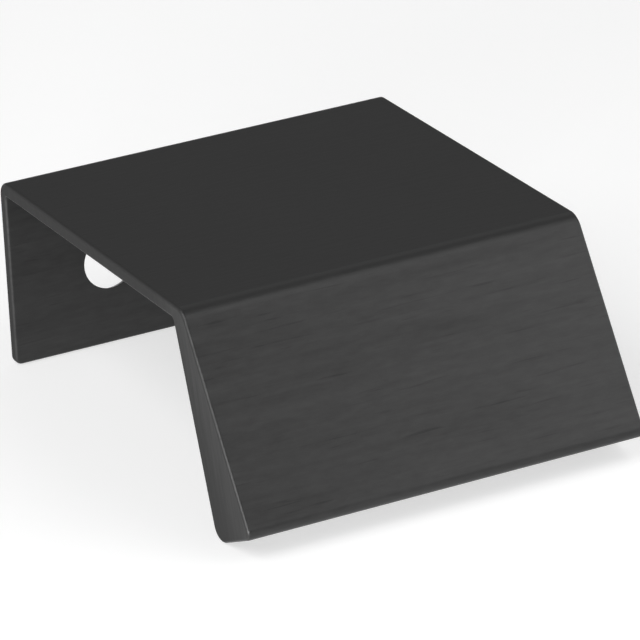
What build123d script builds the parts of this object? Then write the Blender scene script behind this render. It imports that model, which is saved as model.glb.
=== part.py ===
from build123d import *
import os
from math import cos, radians, sin, tan

# Edge pull for a drawer or cabinet front, one piece of black anodised aluminium profile cut to length.
# The flange is screwed to the back of the front, the top lies over its upper edge,
# and the lip leans out in front of it, so that fingers reach up behind it.
# X runs along the pull, -Y points to the user and Z is up. The origin lies midway between the two
# screw holes, on the flange's seat, which is the face that meets the back of the front.

# Overall sizes, in millimetres
length = 40.0
top_depth = 37.5
flange_height = 18.4

# Wall of the flange and of the top
flange_wall = 1.1
top_wall = 1.1

# Lip: a solid wedge that leans out from the upright and grows thicker towards its foot, in mm and degrees
lip_length = 20.9
lip_lean = 32.1
lip_taper = 13.7
lip_foot = 7.2
lip_foot_rise = 24.0

# Folds of the profile
back_fold_radius = 1.45
back_inner_radius = 0.4
front_fold_radius = 3.7
front_inner_radius = 0.5

# Foot of the lip, rounded in the section on its outer and its inner side
outer_foot_radius = 0.8
inner_foot_radius = 1.55

# Lower corners of the flange, and the small round that breaks the edges of the ends and of the flange's foot
flange_corner_radius = 0.7
edge_break = 0.2

# Screw holes in the flange
screw_hole_diameter = 6.15
screw_hole_pitch = 18.6
screw_hole_drop = 10.15
drill_reach = 4 * flange_wall

# A face counts as part of a sawn end when its normal leans at least this far along X
least_end_lean = 0.1

# Levels and depths that follow from the sizes above
top_z = screw_hole_drop
under_top_z = top_z - top_wall
flange_foot_z = top_z - flange_height
seat_y = 0.0
back_y = seat_y + flange_wall
front_corner_y = back_y - top_depth


def lip_corners():
    """Corners of the wedge: its outer foot, its inner foot and where its inner face meets the top."""
    lean = radians(lip_lean)
    inner_lean = radians(lip_lean - lip_taper)
    foot_rise = radians(lip_foot_rise)
    outer_foot = Vector(front_corner_y - lip_length * sin(lean), top_z - lip_length * cos(lean))
    inner_foot = outer_foot + Vector(lip_foot * cos(foot_rise), -lip_foot * sin(foot_rise))
    inner_drop = under_top_z - inner_foot.Y
    inner_fold = Vector(inner_foot.X + inner_drop * tan(inner_lean), under_top_z)
    return outer_foot, inner_foot, inner_fold


def rounded(section, corner, radius):
    """The section with the corner nearest to the given point rounded."""
    nearest = section.vertices().sort_by_distance(corner)[0]
    return fillet(nearest, radius)


def profile():
    """Closed section of the pull, drawn with Y to the right and Z up."""
    outer_foot, inner_foot, inner_fold = lip_corners()
    top_back = Vector(back_y, top_z)
    top_front = Vector(front_corner_y, top_z)
    under_back = Vector(seat_y, under_top_z)
    outline = [
        top_back,
        top_front,
        outer_foot,
        inner_foot,
        inner_fold,
        under_back,
        Vector(seat_y, flange_foot_z),
        Vector(back_y, flange_foot_z),
    ]
    section = make_face(Polyline(*outline, close=True))
    section = rounded(section, top_back, back_fold_radius)
    section = rounded(section, under_back, back_inner_radius)
    section = rounded(section, top_front, front_fold_radius)
    section = rounded(section, inner_fold, front_inner_radius)
    section = rounded(section, outer_foot, outer_foot_radius)
    section = rounded(section, inner_foot, inner_foot_radius)
    return section


def bar():
    """The section carried along X, half of the length to each side of the origin."""
    across = Plane(origin=(0, 0, 0), x_dir=(0, 1, 0), z_dir=(1, 0, 0))
    return extrude(across * profile(), length / 2, both=True)


def flange_foot(pull):
    """The narrow lower face of the flange."""
    return pull.faces().sort_by_distance((0, seat_y + flange_wall / 2, flange_foot_z))[0]


def corners_rounded(pull):
    """The bar with the two lower corners of the flange rounded across its wall."""
    ends = flange_foot(pull).edges().filter_by(Axis.X, reverse=True)
    return fillet(ends, flange_corner_radius)


def edges_broken(pull):
    """The bar with a small round on every edge where a sawn end or the flange's foot meets the skin."""
    ends = pull.faces().filter_by(lambda face: abs(face.normal_at().X) > least_end_lean)
    cut_faces = ends + [flange_foot(pull)]
    sharp = [
        edge
        for face in cut_faces
        for edge in face.edges()
        if sum(edge in other.edges() for other in cut_faces) == 1
    ]
    return fillet(sharp, edge_break)


def screw_holes():
    """The two round holes through the flange, level with the origin."""
    drill = Rotation(90, 0, 0) * Cylinder(screw_hole_diameter / 2, drill_reach)
    return [Pos(side * screw_hole_pitch / 2, back_y, 0) * drill for side in (-1, 1)]


# The finished pull
pull = edges_broken(corners_rounded(bar())) - screw_holes()

os.makedirs("parts", exist_ok=True)
export_step(pull, "parts/edge_pull.step")
print("volume", round(pull.volume, 1), "box", pull.bounding_box())
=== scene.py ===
from math import atan2, cos, degrees, radians, sin

import bmesh
import bpy
from mathutils import Euler, Matrix, Vector


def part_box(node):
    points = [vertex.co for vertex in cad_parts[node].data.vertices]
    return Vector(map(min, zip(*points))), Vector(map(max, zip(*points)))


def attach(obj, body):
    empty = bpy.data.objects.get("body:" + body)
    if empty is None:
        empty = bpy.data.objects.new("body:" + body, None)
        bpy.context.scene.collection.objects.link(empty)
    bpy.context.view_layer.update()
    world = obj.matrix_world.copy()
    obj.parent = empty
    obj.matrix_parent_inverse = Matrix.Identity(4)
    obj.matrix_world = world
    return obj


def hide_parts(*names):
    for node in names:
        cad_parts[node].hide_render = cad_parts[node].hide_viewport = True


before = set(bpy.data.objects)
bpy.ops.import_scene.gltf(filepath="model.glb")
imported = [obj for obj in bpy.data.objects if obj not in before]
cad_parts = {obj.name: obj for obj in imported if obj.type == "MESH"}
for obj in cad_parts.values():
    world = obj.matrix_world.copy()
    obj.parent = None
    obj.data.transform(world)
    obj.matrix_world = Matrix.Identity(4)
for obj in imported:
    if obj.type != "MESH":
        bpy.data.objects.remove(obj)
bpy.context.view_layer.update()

# Edge pull for a drawer front, one piece of black anodised aluminium profile cut to length.
# Metres, X along the pull, -Y towards the user, Z up, as in the CAD frame.

scene = bpy.context.scene


# small helpers for the node trees

def feed(tree, value, socket):
    # a socket is wired in, anything else is written on the input itself
    if isinstance(value, bpy.types.NodeSocket):
        tree.links.new(value, socket)
    else:
        socket.default_value = value


def addNode(tree, kind, values=None, **settings):
    # values go to the inputs by name or place, settings to the node itself
    node = tree.nodes.new(kind)
    for name, value in settings.items():
        setattr(node, name, value)
    for key, value in (values or {}).items():
        feed(tree, value, node.inputs[key])
    return node


def calculator(tree):
    # gives a function that adds one maths node to this tree and returns what comes out of it
    def calc(operation, *values):
        return addNode(tree, "ShaderNodeMath", dict(enumerate(values)), operation=operation).outputs[0]
    return calc


def smoothRamp(tree, value, low, high, start=0.0, end=1.0):
    # goes softly from start to end while the value goes from low to high
    return addNode(tree, "ShaderNodeMapRange", {
        "Value": value, "From Min": low, "From Max": high, "To Min": start, "To Max": end,
    }, interpolation_type="SMOOTHSTEP").outputs[0]


def emptyTree(owner):
    # the cleared node tree of a material or a world
    owner.use_nodes = True
    owner.node_tree.nodes.clear()
    return owner.node_tree


def startTree(name, sizes):
    # a geometry tree with one named input for each size, and one for the material
    tree = bpy.data.node_groups.new(name, "GeometryNodeTree")
    tree.interface.new_socket("Geometry", in_out="INPUT", socket_type="NodeSocketGeometry")
    tree.interface.new_socket("Geometry", in_out="OUTPUT", socket_type="NodeSocketGeometry")
    for label in sizes:
        tree.interface.new_socket(label, in_out="INPUT", socket_type="NodeSocketFloat")
    tree.interface.new_socket("Finish", in_out="INPUT", socket_type="NodeSocketMaterial")
    return tree, addNode(tree, "NodeGroupInput").outputs


def endTree(tree, geometry, finish):
    # every tree ends in real geometry that carries the material
    single = addNode(tree, "GeometryNodeRealizeInstances", {"Geometry": geometry})
    painted = addNode(tree, "GeometryNodeSetMaterial", {
        "Geometry": single.outputs[0], "Material": finish,
    })
    addNode(tree, "NodeGroupOutput", {0: painted.outputs[0]})
    return tree


def markEdges(tree, geometry, weight):
    # the bevel that comes next takes its width times this weight
    return addNode(tree, "GeometryNodeStoreNamedAttribute", {
        "Geometry": geometry, "Name": "bevel_weight_edge", "Value": weight,
    }, data_type="FLOAT", domain="EDGE").outputs[0]


def addTreeModifier(obj, tree, values):
    # the inputs are set by their identifiers, before anything is evaluated
    modifier = obj.modifiers.new(tree.name, "NODES")
    modifier.node_group = tree
    for item in tree.interface.items_tree:
        if item.in_out == "INPUT" and item.name in values:
            modifier[item.identifier] = values[item.name]


# the pull's section, carried along its length

profileSizes = {
    "Length": 0.0400,
    "Top depth": 0.0375,
    "Flange height": 0.0184,
    "Flange wall": 0.0011,
    "Top wall": 0.00135,          # 1.1 mm in the solid, the photograph's sawn end is thicker
    "Lip length": 0.0209,
    "Lip lean": radians(32.1),
    "Lip taper": radians(13.7),
    "Lip foot": 0.0072,
    "Lip foot rise": radians(24.0),
    "Back fold radius": 0.00145,
    "Back inner radius": 0.0004,
    "Front fold radius": 0.0020,  # 3.7 mm in the solid, the photograph's fold line is crisper
    "Front inner radius": 0.0005,
    "Outer foot radius": 0.0008,
    "Inner foot radius": 0.00155,
    "Top level": 0.01015,
}
roundings = {
    "foldPoints": 24,             # points on each fold of the section
    "flangeCorner": 0.0007,       # radius of the flange's lower corners
    "cornerSegments": 10,
    "edgeBreak": 0.0003,          # small round on the sawn edges
    "edgeSegments": 4,
    "rimBreak": 0.00006,          # and on the drilled rims
    "rimSegments": 3,
    "nearly": 1e-5,               # metres, for finding an edge by its middle
    "weld": 1e-7,                 # metres, for joining the flipped end to the rest of the bar
}


def profileTree():
    tree, size = startTree("pull profile", profileSizes)
    calc = calculator(tree)

    def point(across, height):
        return addNode(tree, "ShaderNodeCombineXYZ", {"X": across, "Y": height}).outputs[0]

    def chosen(dataType, values):
        # one value for each corner of the section, in their order round it
        node = addNode(tree, "GeometryNodeIndexSwitch", data_type=dataType)
        while len(node.index_switch_items) < len(values):
            node.index_switch_items.new()
        feed(tree, addNode(tree, "GeometryNodeInputIndex").outputs[0], node.inputs["Index"])
        for place, value in enumerate(values):
            feed(tree, value, node.inputs[place + 1])
        return node.outputs[0]

    topZ = size["Top level"]
    underTopZ = calc("SUBTRACT", topZ, size["Top wall"])
    flangeFootZ = calc("SUBTRACT", topZ, size["Flange height"])
    backY = size["Flange wall"]
    frontY = calc("SUBTRACT", backY, size["Top depth"])
    lipOut = calc("MULTIPLY", size["Lip length"], calc("SINE", size["Lip lean"]))
    lipDown = calc("MULTIPLY", size["Lip length"], calc("COSINE", size["Lip lean"]))
    outerFootY = calc("SUBTRACT", frontY, lipOut)
    outerFootZ = calc("SUBTRACT", topZ, lipDown)
    footRise = size["Lip foot rise"]
    footDown = calc("MULTIPLY", size["Lip foot"], calc("SINE", footRise))
    innerFootY = calc("MULTIPLY_ADD", size["Lip foot"], calc("COSINE", footRise), outerFootY)
    innerFootZ = calc("SUBTRACT", outerFootZ, footDown)
    innerLean = calc("SUBTRACT", size["Lip lean"], size["Lip taper"])
    innerDrop = calc("SUBTRACT", underTopZ, innerFootZ)
    innerFoldY = calc("MULTIPLY_ADD", innerDrop, calc("TANGENT", innerLean), innerFootY)

    corners = [
        (point(backY, topZ), size["Back fold radius"]),
        (point(frontY, topZ), size["Front fold radius"]),
        (point(outerFootY, outerFootZ), size["Outer foot radius"]),
        (point(innerFootY, innerFootZ), size["Inner foot radius"]),
        (point(innerFoldY, underTopZ), size["Front inner radius"]),
        (point(0.0, underTopZ), size["Back inner radius"]),
        (point(0.0, flangeFootZ), 0.0),
        (point(backY, flangeFootZ), 0.0),
    ]
    line = addNode(tree, "GeometryNodeCurvePrimitiveLine")
    steps = addNode(tree, "GeometryNodeResampleCurve", {
        "Curve": line.outputs[0], "Count": len(corners),
    })
    placed = addNode(tree, "GeometryNodeSetPosition", {
        "Geometry": steps.outputs[0],
        "Position": chosen("VECTOR", [place for place, radius in corners]),
    })
    closed = addNode(tree, "GeometryNodeSetSplineCyclic", {
        "Geometry": placed.outputs[0], "Cyclic": True,
    })
    folded = addNode(tree, "GeometryNodeFilletCurve", {
        "Curve": closed.outputs[0],
        "Count": roundings["foldPoints"],
        "Radius": chosen("FLOAT", [radius for place, radius in corners]),
    }, mode="POLY")
    section = addNode(tree, "GeometryNodeFillCurve", {"Curve": folded.outputs[0]}, mode="NGONS")

    # the section is drawn flat, pushed out by the length and closed with its own flipped copy
    pushed = addNode(tree, "GeometryNodeExtrudeMesh", {
        "Mesh": section.outputs[0], "Offset Scale": size["Length"], "Individual": False,
    }, mode="FACES")
    nearEnd = addNode(tree, "GeometryNodeFlipFaces", {"Mesh": section.outputs[0]})
    both = addNode(tree, "GeometryNodeJoinGeometry")
    for part in (pushed, nearEnd):
        feed(tree, part.outputs[0], both.inputs[0])
    bar = addNode(tree, "GeometryNodeMergeByDistance", {
        "Geometry": both.outputs[0], "Distance": roundings["weld"],
    })
    centred = addNode(tree, "ShaderNodeCombineXYZ", {"X": calc("MULTIPLY", size["Length"], -0.5)})
    turned = addNode(tree, "GeometryNodeTransform", {
        "Geometry": bar.outputs[0],
        "Translation": centred.outputs[0],
        "Rotation": (radians(90), 0.0, radians(90)),
    })

    # the edges across the flange's foot are marked for the corner rounds
    here = addNode(tree, "ShaderNodeSeparateXYZ", {
        "Vector": addNode(tree, "GeometryNodeInputPosition").outputs[0],
    })
    flat = point(here.outputs["Y"], here.outputs["Z"])
    footMiddle = point(calc("MULTIPLY", backY, 0.5), flangeFootZ)
    away = addNode(tree, "ShaderNodeVectorMath", {0: flat, 1: footMiddle}, operation="DISTANCE")
    atFoot = calc("LESS_THAN", away.outputs["Value"], roundings["nearly"])
    return endTree(tree, markEdges(tree, turned.outputs[0], atFoot), size["Finish"])


# every edge sharper than the given angle is marked for the small round of the sawn ends

sawnSizes = {
    "Sharp angle": radians(32.0),
}


def sawnTree():
    tree, size = startTree("sawn edges", sawnSizes)
    calc = calculator(tree)

    # the bevel's width is the radius at a square edge, the tangent keeps the radius at all others
    bend = addNode(tree, "GeometryNodeInputMeshEdgeAngle").outputs["Unsigned Angle"]
    sharp = calc("GREATER_THAN", bend, size["Sharp angle"])
    weight = calc("MULTIPLY", sharp, calc("TANGENT", calc("MULTIPLY", bend, 0.5)))
    return endTree(tree, markEdges(tree, size["Geometry"], weight), size["Finish"])


# the row of screw holes through the flange

holeSizes = {
    # the solid's are straight, 6.15 mm wide, 18.6 mm apart, the photograph's widens to the back
    "Hole diameter": 0.0054,
    "Back diameter": 0.0063,
    "Hole pitch": 0.0193,
    "Hole count": 2,
    "Flange wall": profileSizes["Flange wall"],
}
drill = {
    "sides": 96,
    "reach": 0.5,                 # beyond each face of the flange, in walls
}


def holeTree():
    tree, size = startTree("screw holes", holeSizes)
    calc = calculator(tree)

    # each drill starts behind the flange and narrows towards the front
    wall = size["Flange wall"]
    gaps = calc("SUBTRACT", size["Hole count"], 1.0)
    firstX = calc("MULTIPLY", calc("MULTIPLY", gaps, size["Hole pitch"]), -0.5)
    startY = calc("MULTIPLY", wall, 1.0 + drill["reach"])
    start = addNode(tree, "ShaderNodeCombineXYZ", {"X": firstX, "Y": startY})
    step = addNode(tree, "ShaderNodeCombineXYZ", {"X": size["Hole pitch"]})
    row = addNode(tree, "GeometryNodeMeshLine", {
        "Count": size["Hole count"],
        "Start Location": start.outputs[0],
        "Offset": step.outputs[0],
    }, mode="OFFSET")
    frontSide, backSide = size["Hole diameter"], size["Back diameter"]
    growth = calc("MULTIPLY", calc("SUBTRACT", backSide, frontSide), drill["reach"])
    cone = addNode(tree, "GeometryNodeMeshCone", {
        "Vertices": drill["sides"],
        "Radius Top": calc("MULTIPLY", calc("SUBTRACT", frontSide, growth), 0.5),
        "Radius Bottom": calc("MULTIPLY", calc("ADD", backSide, growth), 0.5),
        "Depth": calc("MULTIPLY", wall, 1.0 + 2.0 * drill["reach"]),
    })
    drills = addNode(tree, "GeometryNodeInstanceOnPoints", {
        "Points": row.outputs[0],
        "Instance": cone.outputs[0],
        "Rotation": (radians(90), 0.0, 0.0),
    })
    cut = addNode(tree, "GeometryNodeRealizeInstances", {"Geometry": drills.outputs[0]})
    drilled = addNode(tree, "GeometryNodeMeshBoolean", {
        "Mesh 1": size["Geometry"], "Mesh 2": cut.outputs[0],
    }, operation="DIFFERENCE", solver="EXACT")

    # the drilled rims are marked for their own small round
    marked = markEdges(tree, drilled.outputs["Mesh"], drilled.outputs["Intersecting Edges"])
    soft = addNode(tree, "GeometryNodeSetShadeSmooth", {"Geometry": marked})
    return endTree(tree, soft.outputs[0], size["Finish"])


def makePull(finish):
    blank = bpy.data.objects.new("pullBlank", bpy.data.meshes.new("pullBlank"))
    scene.collection.objects.link(blank)

    def roundMarked(name, width, segments):
        bevel = blank.modifiers.new(name, "BEVEL")
        bevel.limit_method = "WEIGHT"
        bevel.width = width
        bevel.segments = segments
        bevel.use_clamp_overlap = False

    addTreeModifier(blank, profileTree(), dict(profileSizes, Finish=finish))
    roundMarked("corner rounds", roundings["flangeCorner"], roundings["cornerSegments"])
    addTreeModifier(blank, sawnTree(), dict(sawnSizes, Finish=finish))
    roundMarked("edge break", roundings["edgeBreak"], roundings["edgeSegments"])
    addTreeModifier(blank, holeTree(), dict(holeSizes, Finish=finish))
    roundMarked("rim break", roundings["rimBreak"], roundings["rimSegments"])
    even = blank.modifiers.new("even shading", "WEIGHTED_NORMAL")
    even.keep_sharp = True

    evaluated = blank.evaluated_get(bpy.context.evaluated_depsgraph_get())
    mesh = bpy.data.meshes.new_from_object(evaluated)
    mesh.name = "pull"
    blank.modifiers.clear()
    bpy.data.objects.remove(blank)
    pull = bpy.data.objects.new("pull", mesh)
    scene.collection.objects.link(pull)
    print("pull:", len(mesh.polygons), "faces")
    return pull


# black anodised aluminium: brushed along the pull on its skin, sawn across at its ends

finishValues = {
    "colour": (0.026, 0.026, 0.026),
    "metal": 0.40,
    "specular": 0.5,
    "roughness": 0.40,
    "endRoughness": 0.56,         # on the sawn ends, at the lip's outer face
    "innerEndRoughness": 0.80,    # and further in
    "endDepth": 0.006,            # metres from the one to the other
    "lipSpread": 0.08,            # how far the grain moves the roughness on the lip
    "plainSpread": 0.03,          # on the top and inside
    "endSpread": 0.22,            # and how far the saw marks move it on the ends
    "paintedEdgeHighlight": 1.5,              # painted highlight on the broken edges: their colour, as a multiple
    "endFrom": 0.75,              # how squarely a face looks to the side where the end's look starts
    "endFull": 0.97,
    "frontFrom": -0.30,           # and how squarely to the user where the lip's look starts
    "frontFull": -0.75,
}
brushing = {
    # waves to the metre along and across, start and detail of the noise
    "grain": {"along": 520.0, "across": 1700.0, "seed": 0.0, "detail": 3.0},
    "long": {"along": 70.0, "across": 2100.0, "seed": 0.3, "detail": 3.0},
    "broad": {"along": 45.0, "across": 500.0, "seed": 0.9, "detail": 2.0},
    "dashes": {"along": 150.0, "across": 2500.0, "seed": 2.1, "detail": 2.0},
    "sawn": {"along": 160.0, "across": 1700.0, "seed": 0.7, "detail": 3.0},
    "cloud": {"along": 60.0, "across": 60.0, "seed": 1.1, "detail": 2.0},
}
brushTones = {
    "plain": 0.03,                # share of the colour that the grain moves on the top and inside
    "front": 0.30,                # and on the lip, where the photograph shows it
    "sawn": 0.20,                 # the saw marks' share on the ends
    "cloud": 0.03,                # the cloud's share all over
    "dash": 0.35,                 # how much darker a dash is
    "dashFrom": 0.60,             # noise above this is a dash
    "dashFull": 0.74,
    "longShare": 0.4,             # of the long strokes in the grain
    "broadShare": 0.5,            # and of the broad ones on top of it
    "sawLean": radians(12.0),
    "noiseMiddle": 0.5,
    "noiseRoughness": 0.6,
    "toneGain": 4.0,              # brings a noise's usual swing to the whole share
    "roughGain": 2.0,
}
grooveDepths = {
    # metres
    "grain": 0.000010,
    "long": 0.000006,
    "sawn": 0.000010,
}


def finishMaterial():
    value, tone = finishValues, brushTones
    material = bpy.data.materials.new("black anodised, brushed")
    tree = emptyTree(material)
    calc = calculator(tree)
    place = addNode(tree, "ShaderNodeTexCoord").outputs

    def blend(factor, first, second):
        return addNode(tree, "ShaderNodeMix", {
            0: factor, 2: first, 3: second,
        }, data_type="FLOAT").outputs[0]

    def strokes(name, lean=0.0, sawn=False):
        # noise drawn out along the length, or along the sawing direction on the ends
        pattern = brushing[name]
        along, across, seed = pattern["along"], pattern["across"], pattern["seed"]
        turned = addNode(tree, "ShaderNodeMapping", {
            "Vector": place["Object"], "Rotation": (lean, 0.0, 0.0), "Location": (seed, seed, seed),
        })
        drawn = addNode(tree, "ShaderNodeVectorMath", {
            0: turned.outputs[0], 1: (across, across, along) if sawn else (along, across, across),
        }, operation="MULTIPLY")
        return addNode(tree, "ShaderNodeTexNoise", {
            "Vector": drawn.outputs[0],
            "Scale": 1.0,
            "Detail": pattern["detail"],
            "Roughness": tone["noiseRoughness"],
        }).outputs[0]

    def swing(noise):
        return calc("SUBTRACT", noise, tone["noiseMiddle"])

    # where a point lies: on an end, on the lip, or on the round between an end and the skin
    facing = addNode(tree, "ShaderNodeSeparateXYZ", {"Vector": place["Normal"]})
    side = calc("ABSOLUTE", facing.outputs["X"])
    onEnd = smoothRamp(tree, side, value["endFrom"], value["endFull"])
    onFront = smoothRamp(tree, facing.outputs["Y"], value["frontFrom"], value["frontFull"])
    square = calc("MULTIPLY", side, side)
    onEdge = calc("MULTIPLY", square, calc("SUBTRACT", 1.0, square))
    edgePeak = 0.25               # the most that onEdge reaches, half-way round

    grain = strokes("grain")
    long = strokes("long")
    brush = blend(tone["longShare"], grain, long)
    sawn = strokes("sawn", lean=tone["sawLean"], sawn=True)

    # tone: the grain and the dashes on the lip, saw marks on the ends, a faint cloud all over, and a
    # painted highlight on the broken edges
    brushed = calc("MULTIPLY_ADD", strokes("broad"), tone["broadShare"], brush)
    brushed = calc("SUBTRACT", brushed, tone["noiseMiddle"] * (1.0 + tone["broadShare"]))
    brushShare = blend(onFront, tone["plain"], tone["front"])
    skin = calc("MULTIPLY_ADD", calc("MULTIPLY", brushed, brushShare), tone["toneGain"], 1.0)
    dashes = smoothRamp(tree, strokes("dashes"), tone["dashFrom"], tone["dashFull"])
    skin = calc("MULTIPLY_ADD", calc("MULTIPLY", dashes, onFront), -tone["dash"], skin)
    cut = calc("MULTIPLY_ADD", swing(sawn), tone["toneGain"] * tone["sawn"], 1.0)
    clouded = calc("MULTIPLY_ADD", swing(strokes("cloud")), tone["toneGain"] * tone["cloud"], 1.0)
    # painted highlight: the colour is made lighter on the rounds of the broken edges, where the light
    # catches them
    edgeHighlightGain = calc("MULTIPLY_ADD", onEdge, (value["paintedEdgeHighlight"] - 1.0) / edgePeak, 1.0)
    shade = calc("MULTIPLY", calc("MULTIPLY", blend(onEnd, skin, cut), clouded), edgeHighlightGain)
    colour = addNode(tree, "ShaderNodeVectorMath", {
        0: value["colour"], "Scale": shade,
    }, operation="SCALE")

    # roughness: the ends grow duller from the lip's outer face inwards
    lean = profileSizes["Lip lean"]
    foldY = profileSizes["Flange wall"] - profileSizes["Top depth"]
    fold = Vector((0.0, foldY, profileSizes["Top level"]))
    inwards = Vector((0.0, cos(lean), -sin(lean)))
    reach = addNode(tree, "ShaderNodeVectorMath", {
        0: place["Object"], 1: inwards,
    }, operation="DOT_PRODUCT")
    depth = calc("SUBTRACT", reach.outputs["Value"], fold.dot(inwards))
    inner = smoothRamp(tree, depth, 0.0, value["endDepth"])
    endRough = blend(inner, value["endRoughness"], value["innerEndRoughness"])
    base = blend(onEnd, value["roughness"], endRough)
    skinSpread = blend(onFront, value["plainSpread"], value["lipSpread"])
    spread = calc("MULTIPLY", blend(onEnd, skinSpread, value["endSpread"]), tone["roughGain"])
    rough = calc("MULTIPLY_ADD", swing(blend(onEnd, brush, sawn)), spread, base)

    # bump: shallow grooves of the brush and of the saw
    grooves = calc("MULTIPLY", long, grooveDepths["long"])
    grooves = calc("MULTIPLY_ADD", grain, grooveDepths["grain"], grooves)
    height = blend(onEnd, grooves, calc("MULTIPLY", sawn, grooveDepths["sawn"]))
    bump = addNode(tree, "ShaderNodeBump", {"Strength": 1.0, "Distance": 1.0, "Height": height})

    shader = addNode(tree, "ShaderNodeBsdfPrincipled", {
        "Base Color": colour.outputs[0],
        "Metallic": value["metal"],
        "Roughness": rough,
        "Specular IOR Level": value["specular"],
        "Normal": bump.outputs[0],
    })
    addNode(tree, "ShaderNodeOutputMaterial", {"Surface": shader.outputs[0]})
    print("finish:", len(tree.nodes), "nodes")
    return material


blackAnodised = finishMaterial()
pull = makePull(blackAnodised)
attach(pull, "root")
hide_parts("edge_pull")


# the floor: pale, and as steep as the pull leans when it stands on both of its feet

floorValues = {
    "radius": 6.0,
    "sides": 96,
    "colour": (0.55, 0.55, 0.55, 1.0),
    "whiteLift": 0.55,            # glow that the camera and mirror-like surfaces see
    "farLift": 0.90,              # and far out, where the lamps no longer reach
    "farFrom": 0.3,               # metres from the pull
    "farFull": 1.0,
    "drop": 0.00002,
    "leanRounds": 4,              # tries, until the two lowest points no longer change
}


def feetPlane(mesh):
    # slope and height of the plane that the lip's foot and the flange's foot both stand on
    points = [vertex.co.copy() for vertex in mesh.vertices]
    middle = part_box("edge_pull")[0][1] / 2
    front = [point for point in points if point.y < middle]
    back = [point for point in points if point.y > -profileSizes["Flange wall"]]
    slope = 0.0
    for step in range(floorValues["leanRounds"]):
        frontFoot = min(front, key=lambda point: point.z - slope * point.y)
        backFoot = min(back, key=lambda point: point.z - slope * point.y)
        slope = (backFoot.z - frontFoot.z) / (backFoot.y - frontFoot.y)
    return slope, frontFoot.z - slope * frontFoot.y


def floorMaterial():
    material = bpy.data.materials.new("pale floor")
    tree = emptyTree(material)
    calc = calculator(tree)
    ray = addNode(tree, "ShaderNodeLightPath").outputs
    seen = calc("MAXIMUM", ray["Is Camera Ray"], ray["Is Glossy Ray"])
    seen = calc("MAXIMUM", seen, ray["Is Transmission Ray"])
    place = addNode(tree, "ShaderNodeTexCoord").outputs["Object"]
    out = addNode(tree, "ShaderNodeVectorMath", {0: place}, operation="LENGTH").outputs["Value"]
    lift = smoothRamp(tree, out, floorValues["farFrom"], floorValues["farFull"],
                      floorValues["whiteLift"], floorValues["farLift"])
    matt = addNode(tree, "ShaderNodeBsdfDiffuse", {"Color": floorValues["colour"]})
    glow = addNode(tree, "ShaderNodeEmission", {"Strength": calc("MULTIPLY", seen, lift)})
    both = addNode(tree, "ShaderNodeAddShader", {0: matt.outputs[0], 1: glow.outputs[0]})
    addNode(tree, "ShaderNodeOutputMaterial", {"Surface": both.outputs[0]})
    return material


def makeFloor(obj):
    slope, height = feetPlane(obj.data)
    mesh = bpy.data.meshes.new("floor")
    bm = bmesh.new()
    bmesh.ops.create_circle(
        bm, cap_ends=True, radius=floorValues["radius"], segments=floorValues["sides"])
    for vertex in bm.verts:
        vertex.co.z = height - floorValues["drop"] + slope * vertex.co.y
    bmesh.ops.recalc_face_normals(bm, faces=bm.faces)
    bm.to_mesh(mesh)
    bm.free()
    mesh.materials.append(floorMaterial())
    floor = bpy.data.objects.new("floor", mesh)
    scene.collection.objects.link(floor)
    print("floor: leans", round(degrees(atan2(slope, 1.0)), 2), "degrees")


makeFloor(pull)


# the room: an even dim grey, and pale at the horizon where the floor ends

worldValues = {
    "colour": (1.0, 1.0, 1.0, 1.0),
    "room": 0.176,
    "horizon": 1.0,
    "horizonUpTo": 0.010,         # height of the direction, 1 is straight up
    "clearFrom": 0.030,
}


def makeWorld():
    value = worldValues
    world = bpy.data.worlds.new("studio")
    tree = emptyTree(world)
    way = addNode(tree, "ShaderNodeTexCoord").outputs["Generated"]
    up = addNode(tree, "ShaderNodeSeparateXYZ", {"Vector": way}).outputs["Z"]
    strength = smoothRamp(tree, up, value["horizonUpTo"], value["clearFrom"],
                          value["horizon"], value["room"])
    background = addNode(tree, "ShaderNodeBackground", {"Color": value["colour"], "Strength": strength})
    addNode(tree, "ShaderNodeOutputWorld", {"Surface": background.outputs[0]})
    scene.world = world
    print("room:", value["room"])


makeWorld()


# the lamps: large soft ones further off, and small soft ones close by for the slow fall of tone

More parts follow.
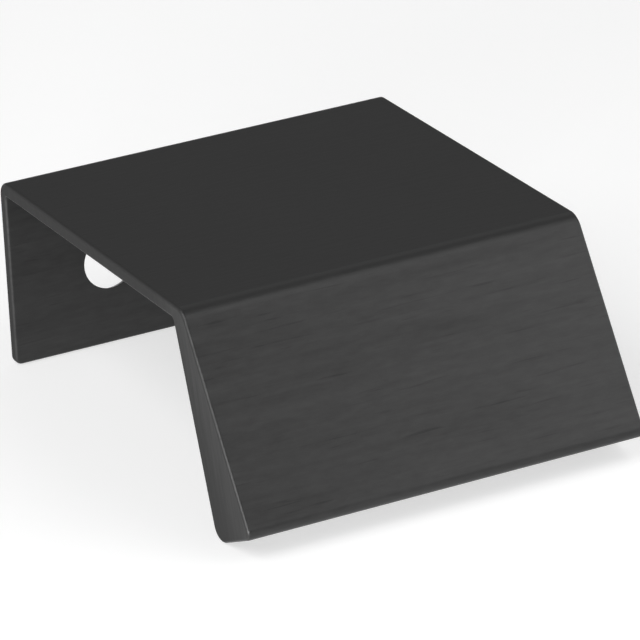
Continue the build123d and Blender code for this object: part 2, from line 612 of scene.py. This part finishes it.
lamps = {
    # direction from the pull, distance, width and height in metres, watts
    "aboveLeft": {"towards": (-0.70, -0.20, 0.80), "away": 0.90, "size": (0.60, 0.60), "watts": 3.890},
    "behind": {"towards": (0.42, 0.55, 0.72), "away": 0.90, "size": (0.50, 0.35), "watts": 0.304},
    "hood": {"towards": (0.40, -0.42, 0.82), "away": 0.45, "size": (0.30, 0.20), "watts": 0.342},
    "nearRight": {"towards": (0.70, -0.66, 0.36), "away": 0.24, "size": (0.16, 0.14), "watts": 0.149},
    "lowLeft": {"towards": (-0.75, -0.65, 0.10), "away": 0.35, "size": (0.16, 0.10), "watts": 1.092},
}


def makeLamps(aim):
    for name, lamp in lamps.items():
        light = bpy.data.lights.new(name, "AREA")
        light.shape = "RECTANGLE"
        light.size, light.size_y = lamp["size"]
        light.energy = lamp["watts"]
        obj = bpy.data.objects.new(name, light)
        way = Vector(lamp["towards"]).normalized()
        obj.location = aim + way * lamp["away"]
        obj.rotation_euler = way.to_track_quat("Z", "Y").to_euler()
        obj.visible_camera = False
        scene.collection.objects.link(obj)
    print("lamps:", len(lamps))


# the camera, at the photograph's angle

cameraValues = {
    "lens": 304.74,
    "sensor": 36.0,
    "clip": (0.01, 100.0),
    "aim": Vector((0.001902, -0.019906, -0.001753)),
    "azimuth": -27.097,           # degrees, as are the next two
    "elevation": 22.910,
    "roll": -2.685,
    "distance": 0.49721,
}


def makeCamera():
    value = cameraValues
    data = bpy.data.cameras.new("camera")
    data.lens = value["lens"]
    data.sensor_width = value["sensor"]
    data.sensor_fit = "HORIZONTAL"
    data.clip_start, data.clip_end = value["clip"]
    tilt = Euler((radians(90 - value["elevation"]), 0.0, radians(value["azimuth"]))).to_matrix()
    turn = tilt @ Matrix.Rotation(radians(value["roll"]), 3, "Z")
    spot = value["aim"] + turn.col[2] * value["distance"]
    camera = bpy.data.objects.new("camera", data)
    camera.matrix_world = Matrix.Translation(spot) @ turn.to_4x4()
    scene.collection.objects.link(camera)
    scene.camera = camera
    print("camera:", value["lens"], "mm lens")


makeLamps(cameraValues["aim"])
makeCamera()
scene.view_settings.view_transform = "Standard"
